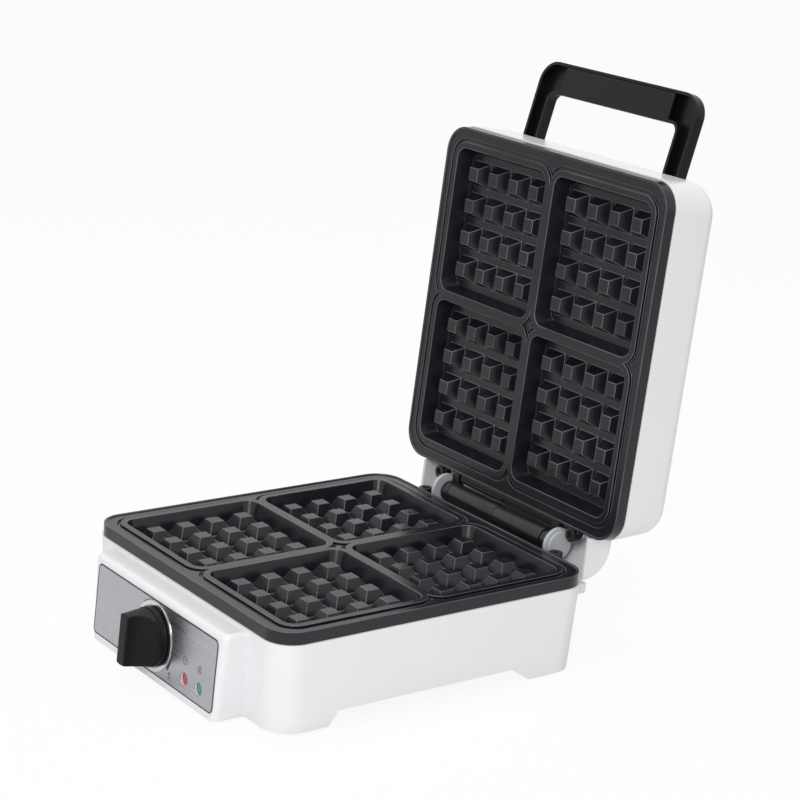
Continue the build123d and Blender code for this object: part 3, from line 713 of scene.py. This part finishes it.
@dataclass
class Hinge:
    """The pin, barrel, collars, brackets and screw bosses between the plates, in millimetres."""

    wardrobe: Wardrobe
    axis_y: float = 277.0
    plate_back: float = 261.0
    open_angle: float = 94.7
    barrel_radius: float = 8.5
    barrel_half: float = 55.5
    barrel_split: float = 0.25
    collar_radius: float = 8.2
    collar_x: tuple[float, float] = (56.6, 64.0)
    cap_radius: float = 10.8
    cap_x: tuple[float, float] = (69.5, 72.0)
    web_z: tuple[float, float] = (-7.6, -3.2)
    web_back: float = 268.0
    tongue_front: float = 267.0
    tongue_back: float = 275.0
    tongue_z: tuple[float, float] = (-8.2, -2.0)
    lip_inset: float = 2.0
    lip_y: tuple[float, float] = (264.6, 266.2)
    lip_z: tuple[float, float] = (-3.4, -1.8)
    rod_edge: float = 0.7
    slab_edge: float = 0.4
    bracket_edge: float = 0.15
    boss_edge: float = 0.3
    boss_radius: float = 5.2
    boss_place: tuple[float, float] = (79.5, 266.4)
    boss_z: tuple[float, float] = (-8.0, -0.6)
    socket_radius: float = 2.6
    socket_depth: float = 2.0

    def rod(self, low: float, high: float, radius: float) -> bmesh.types.BMesh:
        """A rounded rod along the hinge line, between two places across the iron."""
        shape = bmesh.new()
        middle = mm((low + high) / 2, self.axis_y, 0)
        bmesh.ops.create_cone(
            shape,
            cap_ends=True,
            segments=56,
            radius1=radius * MM,
            radius2=radius * MM,
            depth=abs(high - low) * MM,
            matrix=Matrix.Translation(middle) @ Matrix.Rotation(math.pi / 2, 4, "Y"),
        )
        rounded(shape, self.rod_edge)
        return shape

    def slab(self, low: tuple[float, ...], high: tuple[float, ...]) -> bmesh.types.BMesh:
        """A rounded block between two corners."""
        shape = bmesh.new()
        size = [(b - a) * MM for a, b in zip(low, high)]
        middle = mm(*((a + b) / 2 for a, b in zip(low, high)))
        matrix = Matrix.Translation(middle) @ Matrix.Diagonal((*size, 1.0))
        bmesh.ops.create_cube(shape, size=1.0, matrix=matrix)
        rounded(shape, self.slab_edge)
        return shape

    def boss(self, side: int) -> bmesh.types.BMesh:
        """A round screw head with a hexagonal socket, on the lower plate's lug."""
        shape = bmesh.new()
        x, y = side * self.boss_place[0], self.boss_place[1]
        low, high = self.boss_z
        bmesh.ops.create_cone(
            shape,
            cap_ends=True,
            segments=36,
            radius1=self.boss_radius * MM,
            radius2=self.boss_radius * MM,
            depth=(high - low) * MM,
            matrix=Matrix.Translation(mm(x, y, (low + high) / 2)),
        )
        top = max(shape.faces, key=lambda face: face.calc_center_median().z)
        centre = top.calc_center_median()
        ring = self.boss_radius - self.socket_radius
        bmesh.ops.inset_region(shape, faces=[top], thickness=ring * MM, use_even_offset=True)
        for vert in top.verts:
            arm = vert.co - centre
            off = math.atan2(arm.y, arm.x) % (math.pi / 3) - math.pi / 6
            vert.co = centre + arm * (math.cos(math.pi / 6) / math.cos(off))
        wall = bmesh.ops.extrude_face_region(shape, geom=[top])
        floor = [g for g in wall["geom"] if isinstance(g, bmesh.types.BMVert)]
        bmesh.ops.translate(shape, verts=floor, vec=(0, 0, -self.socket_depth * MM))
        bmesh.ops.delete(shape, geom=[top], context="FACES_ONLY")
        rounded(shape, self.boss_edge, segments=2)
        return shape

    def raised(self, shape: bmesh.types.BMesh) -> bmesh.types.BMesh:
        """Turn a shape of the lower half over the parting plane and open it with the lid."""
        centre = mm(0, self.axis_y, 0)
        bmesh.ops.scale(shape, vec=(1, 1, -1), space=Matrix.Translation(-centre), verts=shape.verts)
        bmesh.ops.reverse_faces(shape, faces=shape.faces)
        turn = Matrix.Rotation(-math.radians(self.open_angle), 3, "X")
        bmesh.ops.rotate(shape, cent=centre, matrix=turn, verts=shape.verts)
        return shape

    def web(self, side: int) -> tuple[bmesh.types.BMesh, bmesh.types.BMesh]:
        """The flange along a plate's back edge and its tongue into one half of the barrel."""
        low, high = self.web_z
        half = self.barrel_half
        tongue = sorted((side * self.barrel_split, side * half))
        return (
            self.slab((-half, self.plate_back, low), (half, self.web_back, high)),
            self.slab((tongue[0], self.tongue_front, low), (tongue[1], self.tongue_back, high)),
        )

    def barrel(self) -> None:
        """The two halves of the barrel, each with its plate's flange."""
        half, split = self.barrel_half, self.barrel_split
        lower = joined(self.rod(-half, -split, self.barrel_radius), *self.web(-1))
        self.wardrobe.wear(
            shown("lower_hinge_barrel", lower), Slot.HINGE, "base", "lower_hinge_knuckle"
        )
        (front, back), (low, high) = self.lip_y, self.lip_z
        lip = self.slab((self.lip_inset - half, front, low), (-self.lip_inset, back, high))
        upper = joined(
            self.raised(joined(*self.web(1), lip)), self.rod(split, half, self.barrel_radius)
        )
        self.wardrobe.wear(
            shown("upper_hinge_barrel", upper), Slot.HINGE, "lid", "upper_hinge_knuckle"
        )

    def sides(self) -> None:
        """The collars, the brackets and the caps over the pin's ends."""
        for side, name in ((-1, "left"), (1, "right")):
            low, high = sorted(side * x for x in self.collar_x)
            bottom, top = self.tongue_z
            tongue = self.slab((low, self.plate_back, bottom), (high, self.tongue_back, top))
            collar = joined(self.rod(low, high, self.collar_radius), self.raised(tongue))
            node = f"hinge_arm_{name}"
            self.wardrobe.wear(shown(f"hinge_collar_{name}", collar), Slot.HINGE, "lid", node)
            node = f"hinge_bracket_{name}"
            bracket = SoftEdges(node, self.bracket_edge).build()
            self.wardrobe.wear(bracket, Slot.BRACKET, "base", node)
            cap = self.rod(*sorted(side * x for x in self.cap_x), self.cap_radius)
            self.wardrobe.wear(shown(f"hinge_cap_{name}", cap), Slot.BRACKET, "base")

    def bosses(self) -> None:
        """The socket heads on the plates' lugs."""
        lower = joined(self.boss(-1), self.boss(1))
        self.wardrobe.wear(
            shown("lower_hinge_bosses", lower), Slot.HINGE, "base", "lower_plate_screws"
        )
        upper = self.raised(joined(self.boss(-1), self.boss(1)))
        self.wardrobe.wear(
            shown("upper_hinge_bosses", upper), Slot.HINGE, "lid", "upper_plate_screws"
        )

    def build(self) -> None:
        """Make and dress each piece."""
        self.barrel()
        self.sides()
        self.bosses()
        self.wardrobe.dress("hinge_pin", Slot.STEEL)
        self.wardrobe.dress("hinge_bracket_screws", Slot.STEEL)


@dataclass
class Controls:
    """The brushed panel, its printed marks, the dark ring painted as shade in the gap round it, the
    knob, the bezel and the lamps, in millimetres.
    """

    wardrobe: Wardrobe
    panel_size: tuple[float, float] = (161.0, 51.5)
    panel_corner: float = 4.0
    panel_edge: float = 0.2
    panel_gap: float = 0.25
    middle: tuple[float, float, float] = (0.0, -20.4194, -42.3)
    lean: tuple[float, float] = (0.064382, 0.997925)
    face: float = 0.2
    ink: float = 0.06
    # The width of the dark ring painted as shade in the gap round the panel.
    gap_shadow_width: float = 0.9
    arc_radius: float = 25.2
    arc_start: float = 130.0
    arc_turn: float = 168.0
    arc_width: float = 0.5
    wedge_width: float = 2.6
    lamp_x: tuple[float, float] = (43.2, 61.6)
    mark_v: float = -1.5
    number_size: float = 6.5
    numbers: tuple[tuple[str, float, float], ...] = (("1", 24.0, 18.0), ("5", 24.5, -20.0))

    def place(self, u: float, v: float, out: float) -> Matrix:
        """The placement of a point of the panel, across, up and out from its middle."""
        back, up = self.lean
        turn = Matrix(((1, 0, 0), (0, back, up), (0, -up, back))).transposed().to_4x4()
        offset = Matrix.Translation(Vector((u, v, out)) * MM)
        return Matrix.Translation(mm(*self.middle)) @ turn @ offset

    def raise_ink(self, shape: bmesh.types.BMesh) -> None:
        """Give flat marks the thickness of a print."""
        grown = bmesh.ops.extrude_face_region(shape, geom=list(shape.faces))
        verts = [g for g in grown["geom"] if isinstance(g, bmesh.types.BMVert)]
        bmesh.ops.translate(shape, verts=verts, vec=(0, 0, self.ink * MM))
        bmesh.ops.recalc_face_normals(shape, faces=shape.faces)

    def frame_mark(
        self, width: float, height: float, corner: float, line: float
    ) -> bmesh.types.BMesh:
        """A flat rounded rectangle drawn as a line."""
        shape = bmesh.new()
        bmesh.ops.create_grid(shape, x_segments=1, y_segments=1, size=0.5 * MM)
        bmesh.ops.scale(shape, vec=(width, height, 1), verts=shape.verts)
        bmesh.ops.bevel(
            shape,
            geom=list(shape.verts),
            offset=corner * MM,
            offset_type="OFFSET",
            affect="VERTICES",
            segments=6,
            profile=0.5,
            material=-1,
        )
        middle = list(shape.faces)
        bmesh.ops.inset_region(
            shape, faces=middle, thickness=line * MM, use_even_offset=True, use_boundary=True
        )
        bmesh.ops.delete(shape, geom=middle, context="FACES")
        self.raise_ink(shape)
        return shape

    def ring_mark(
        self, start: float, turn: float, radius: float, first: float, last: float
    ) -> bmesh.types.BMesh:
        """A flat arc whose line widens in its last third.

        Args:
            start: where it starts, in degrees from the panel's right, anticlockwise.
            turn: how far it runs clockwise, in degrees.
            radius: its inner radius.
            first: the line's width at the start.
            last: the line's width at the end.

        Returns:
            The mesh.
        """
        shape = bmesh.new()
        reach = [shape.verts.new(Vector((r * MM, 0, 0))) for r in (radius, radius + first)]
        edge = shape.edges.new(reach)
        bmesh.ops.rotate(
            shape, cent=(0, 0, 0), matrix=Matrix.Rotation(math.radians(start), 3, "Z"), verts=reach
        )
        bmesh.ops.spin(
            shape,
            geom=[*reach, edge],
            cent=(0, 0, 0),
            axis=(0, 0, 1),
            angle=-math.radians(turn),
            steps=48,
            use_merge=turn >= 360,
            use_duplicate=False,
        )
        for vert in shape.verts:
            if vert.co.length > (radius + first / 2) * MM:
                angle = math.degrees(math.atan2(vert.co.y, vert.co.x))
                share = ((start - angle) % 360) / turn
                grown = first + (last - first) * max(0.0, min(1.0, share) - 0.66) / 0.34
                vert.co *= (radius + grown) * MM / vert.co.length
        self.raise_ink(shape)
        return shape

    def number_mark(self, text: str, size: float) -> bmesh.types.BMesh:
        """A printed number, centred."""
        curve = bpy.data.curves.new("number", "FONT")
        curve.body = text
        curve.size = size * MM
        curve.align_x, curve.align_y = "CENTER", "CENTER"
        curve.resolution_u = 4
        holder = bpy.data.objects.new("number", curve)
        mesh = bpy.data.meshes.new_from_object(holder)
        shape = bmesh.new()
        shape.from_mesh(mesh)
        bmesh.ops.remove_doubles(shape, verts=shape.verts, dist=1e-6)
        bpy.data.objects.remove(holder)
        bpy.data.curves.remove(curve)
        bpy.data.meshes.remove(mesh)
        self.raise_ink(shape)
        return shape

    def marks(self) -> None:
        """A dark ring painted as shade in the gap round the panel, and what is printed on it."""
        width, height = (side + 2 * self.panel_gap for side in self.panel_size)
        left, right = self.lamp_x
        arc = self.ring_mark(
            self.arc_start, self.arc_turn, self.arc_radius, self.arc_width, self.wedge_width
        )
        rows = (
            # Painted shadow: a dark ring over the gap round the panel's edge.
            (self.frame_mark(width, height, self.panel_corner, self.gap_shadow_width), 0, 0),
            (arc, 0, 0),
            (self.ring_mark(90, 360, 2.5, 0.45, 0.45), left, self.mark_v),
            (self.frame_mark(0.6, 2.8, 0.2, 0.25), left, self.mark_v),
            (self.frame_mark(3.4, 5.6, 1.0, 0.4), right, self.mark_v),
            (self.frame_mark(1.9, 0.6, 0.2, 0.25), right, self.mark_v + 1),
            (self.frame_mark(1.9, 0.6, 0.2, 0.25), right, self.mark_v - 1),
            *((self.number_mark(text, self.number_size), u, v) for text, u, v in self.numbers),
        )
        for shape, u, v in rows:
            bmesh.ops.transform(shape, matrix=self.place(u, v, self.face), verts=shape.verts)
        piece = shown("panel_marks_and_gap_shadow", joined(*(shape for shape, _, _ in rows)))
        piece.data.materials.append(self.wardrobe.ink)
        self.wardrobe.wear(piece, Slot.BLACK, "base")

    def build(self) -> None:
        """Draw the marks, then dress each piece, rounding the panel's edges."""
        self.marks()
        rows = (
            ("control_panel", "base", Slot.PANEL, self.panel_edge),
            ("knob_bezel", "base", Slot.BEZEL, 0.0),
            ("red_lamp_lens", "base", Slot.RED, 0.0),
            ("green_lamp_lens", "base", Slot.GREEN, 0.0),
            ("control_knob", "knob", Slot.KNOB, 0.0),
        )
        for node, body, slot, width in rows:
            self.wardrobe.wear(SoftEdges(node, width).build(), slot, body, node)
        self.wardrobe.dress("thermostat_shaft", Slot.STEEL)
        self.wardrobe.dress("thermostat_body", Slot.SHEET)
        self.wardrobe.dress("thermostat_bracket", Slot.SHEET)
        self.wardrobe.dress("thermostat_screws", Slot.STEEL)
        self.wardrobe.dress("lamp_holders", Slot.BLACK)


@dataclass
class Handle:
    """The black arch on the lid and the cover in its grip."""

    wardrobe: Wardrobe

    def build(self) -> None:
        """Dress the arch and its cover, rounding the cover's edges."""
        for node, width in (("handle_shell", 0.0), ("handle_grip_cover", 0.4)):
            self.wardrobe.wear(SoftEdges(node, width).build(), Slot.HANDLE, "lid", node)
        self.wardrobe.dress("handle_screws", Slot.STEEL)


@dataclass
class Studio:
    """A pale floor, a white surround, two soft lamps and the camera."""

    floor_size: float = 12.0
    floor_colour: float = 0.9
    floor_glow: float = 0.92
    surround: float = 0.464
    lens: float = 102.3
    azimuth: float = 53.047
    elevation: float = 16.349
    roll: float = 3.986
    shift: tuple[float, float, float] = (-149.078, -118.494, -1554.041)

    def floor(self) -> None:
        """The floor, which shows white to the camera and keeps the soft shadow."""
        shape = bmesh.new()
        bmesh.ops.create_grid(shape, x_segments=4, y_segments=4, size=self.floor_size / 2)
        tree = Tree("studio_floor")
        shade = tree.noise(3.0, 2.0)
        pale = (self.floor_colour,) * 3
        paler = (self.floor_colour + 0.03,) * 3
        diffuse = tree.add(
            "ShaderNodeBsdfPrincipled",
            {},
            {"Base Color": tree.blend(shade, pale, paler), "Roughness": 0.8},
        )
        glow = tree.add("ShaderNodeEmission", {}, {"Color": (1, 1, 1, 1), "Strength": 1.0})
        path = tree.add("ShaderNodeLightPath")
        camera = Number(tree, path.outputs["Is Camera Ray"])
        mix = tree.add(
            "ShaderNodeMixShader",
            {},
            {0: camera * self.floor_glow, 1: diffuse.outputs[0], 2: glow.outputs[0]},
        )
        tree.add("ShaderNodeOutputMaterial", {}, {"Surface": mix.outputs[0]})
        piece = shown("floor", shape)
        piece.data.materials.append(tree.material)

    def world(self) -> None:
        """A plain white surround: full for the camera and in mirrors, softer as a light."""
        world = bpy.data.worlds.new("surround")
        bpy.context.scene.world = world
        world.use_nodes = True
        graph = Graph(world.node_tree)
        rays = graph.add("ShaderNodeLightPath").outputs
        share = Number(graph, rays["Is Camera Ray"])
        for ray in ("Is Glossy Ray", "Is Transmission Ray"):
            share = share.larger(rays[ray])
        levels = {"Value": share, "To Min": self.surround, "To Max": 1.0}
        strength = graph.add("ShaderNodeMapRange", {}, levels).outputs[0]
        inputs = {"Color": (1.0, 1.0, 1.0, 1.0), "Strength": strength}
        background = graph.add("ShaderNodeBackground", {}, inputs)
        graph.add("ShaderNodeOutputWorld", {}, {"Surface": background.outputs[0]})

    def lamp(self, name: str, place: Vector, size: float, power: float, aim: Vector) -> None:
        """A square soft lamp.

        Args:
            name: its name.
            place: where it hangs.
            size: its side in metres.
            power: watts.
            aim: the point that it faces.
        """
        data = bpy.data.lights.new(name, "AREA")
        data.size = size
        data.energy = power
        lamp = bpy.data.objects.new(name, data)
        lamp.location = place
        lamp.rotation_euler = (aim - place).to_track_quat("-Z", "Y").to_euler()
        bpy.context.scene.collection.objects.link(lamp)

    def camera(self) -> None:
        """The camera, at the photograph's place, angle and lens."""
        a, e, r = (math.radians(v) for v in (self.azimuth, self.elevation, self.roll))
        back = Vector((math.sin(a) * math.cos(e), -math.cos(a) * math.cos(e), math.sin(e)))
        right = Vector((0, 0, 1)).cross(back).normalized()
        up = back.cross(right)
        row_x = right * math.cos(r) + up * math.sin(r)
        row_y = up * math.cos(r) - right * math.sin(r)
        turn = Matrix((row_x, row_y, back)).transposed()
        place = -(turn @ Vector(self.shift))
        data = bpy.data.cameras.new("photo_camera")
        data.sensor_width = 36.0
        data.lens = self.lens
        data.clip_end = 50.0
        camera = bpy.data.objects.new("photo_camera", data)
        camera.matrix_world = Matrix.Translation(place * MM + STAND) @ turn.to_4x4()
        bpy.context.scene.collection.objects.link(camera)
        bpy.context.scene.camera = camera

    def build(self) -> None:
        """Make the studio."""
        self.floor()
        self.world()
        aim = Vector((0, 0, 0.12))
        self.lamp("key", Vector((1.36, -1.46, 1.27)), 0.8, 21.0, aim)
        self.lamp("top", Vector((-0.2, 0.1, 2.4)), 1.6, 21.0, aim)
        self.camera()
        bpy.context.scene.view_settings.view_transform = "Standard"


def main() -> None:
    """Build every sub-assembly, then the studio."""
    logging.basicConfig(level=logging.INFO)
    wardrobe = Wardrobe()
    for part in (Housing, WafflePlates, Hinge, Controls, Handle):
        part(wardrobe).build()
    Studio().build()


if __name__ == "__main__":
    main()
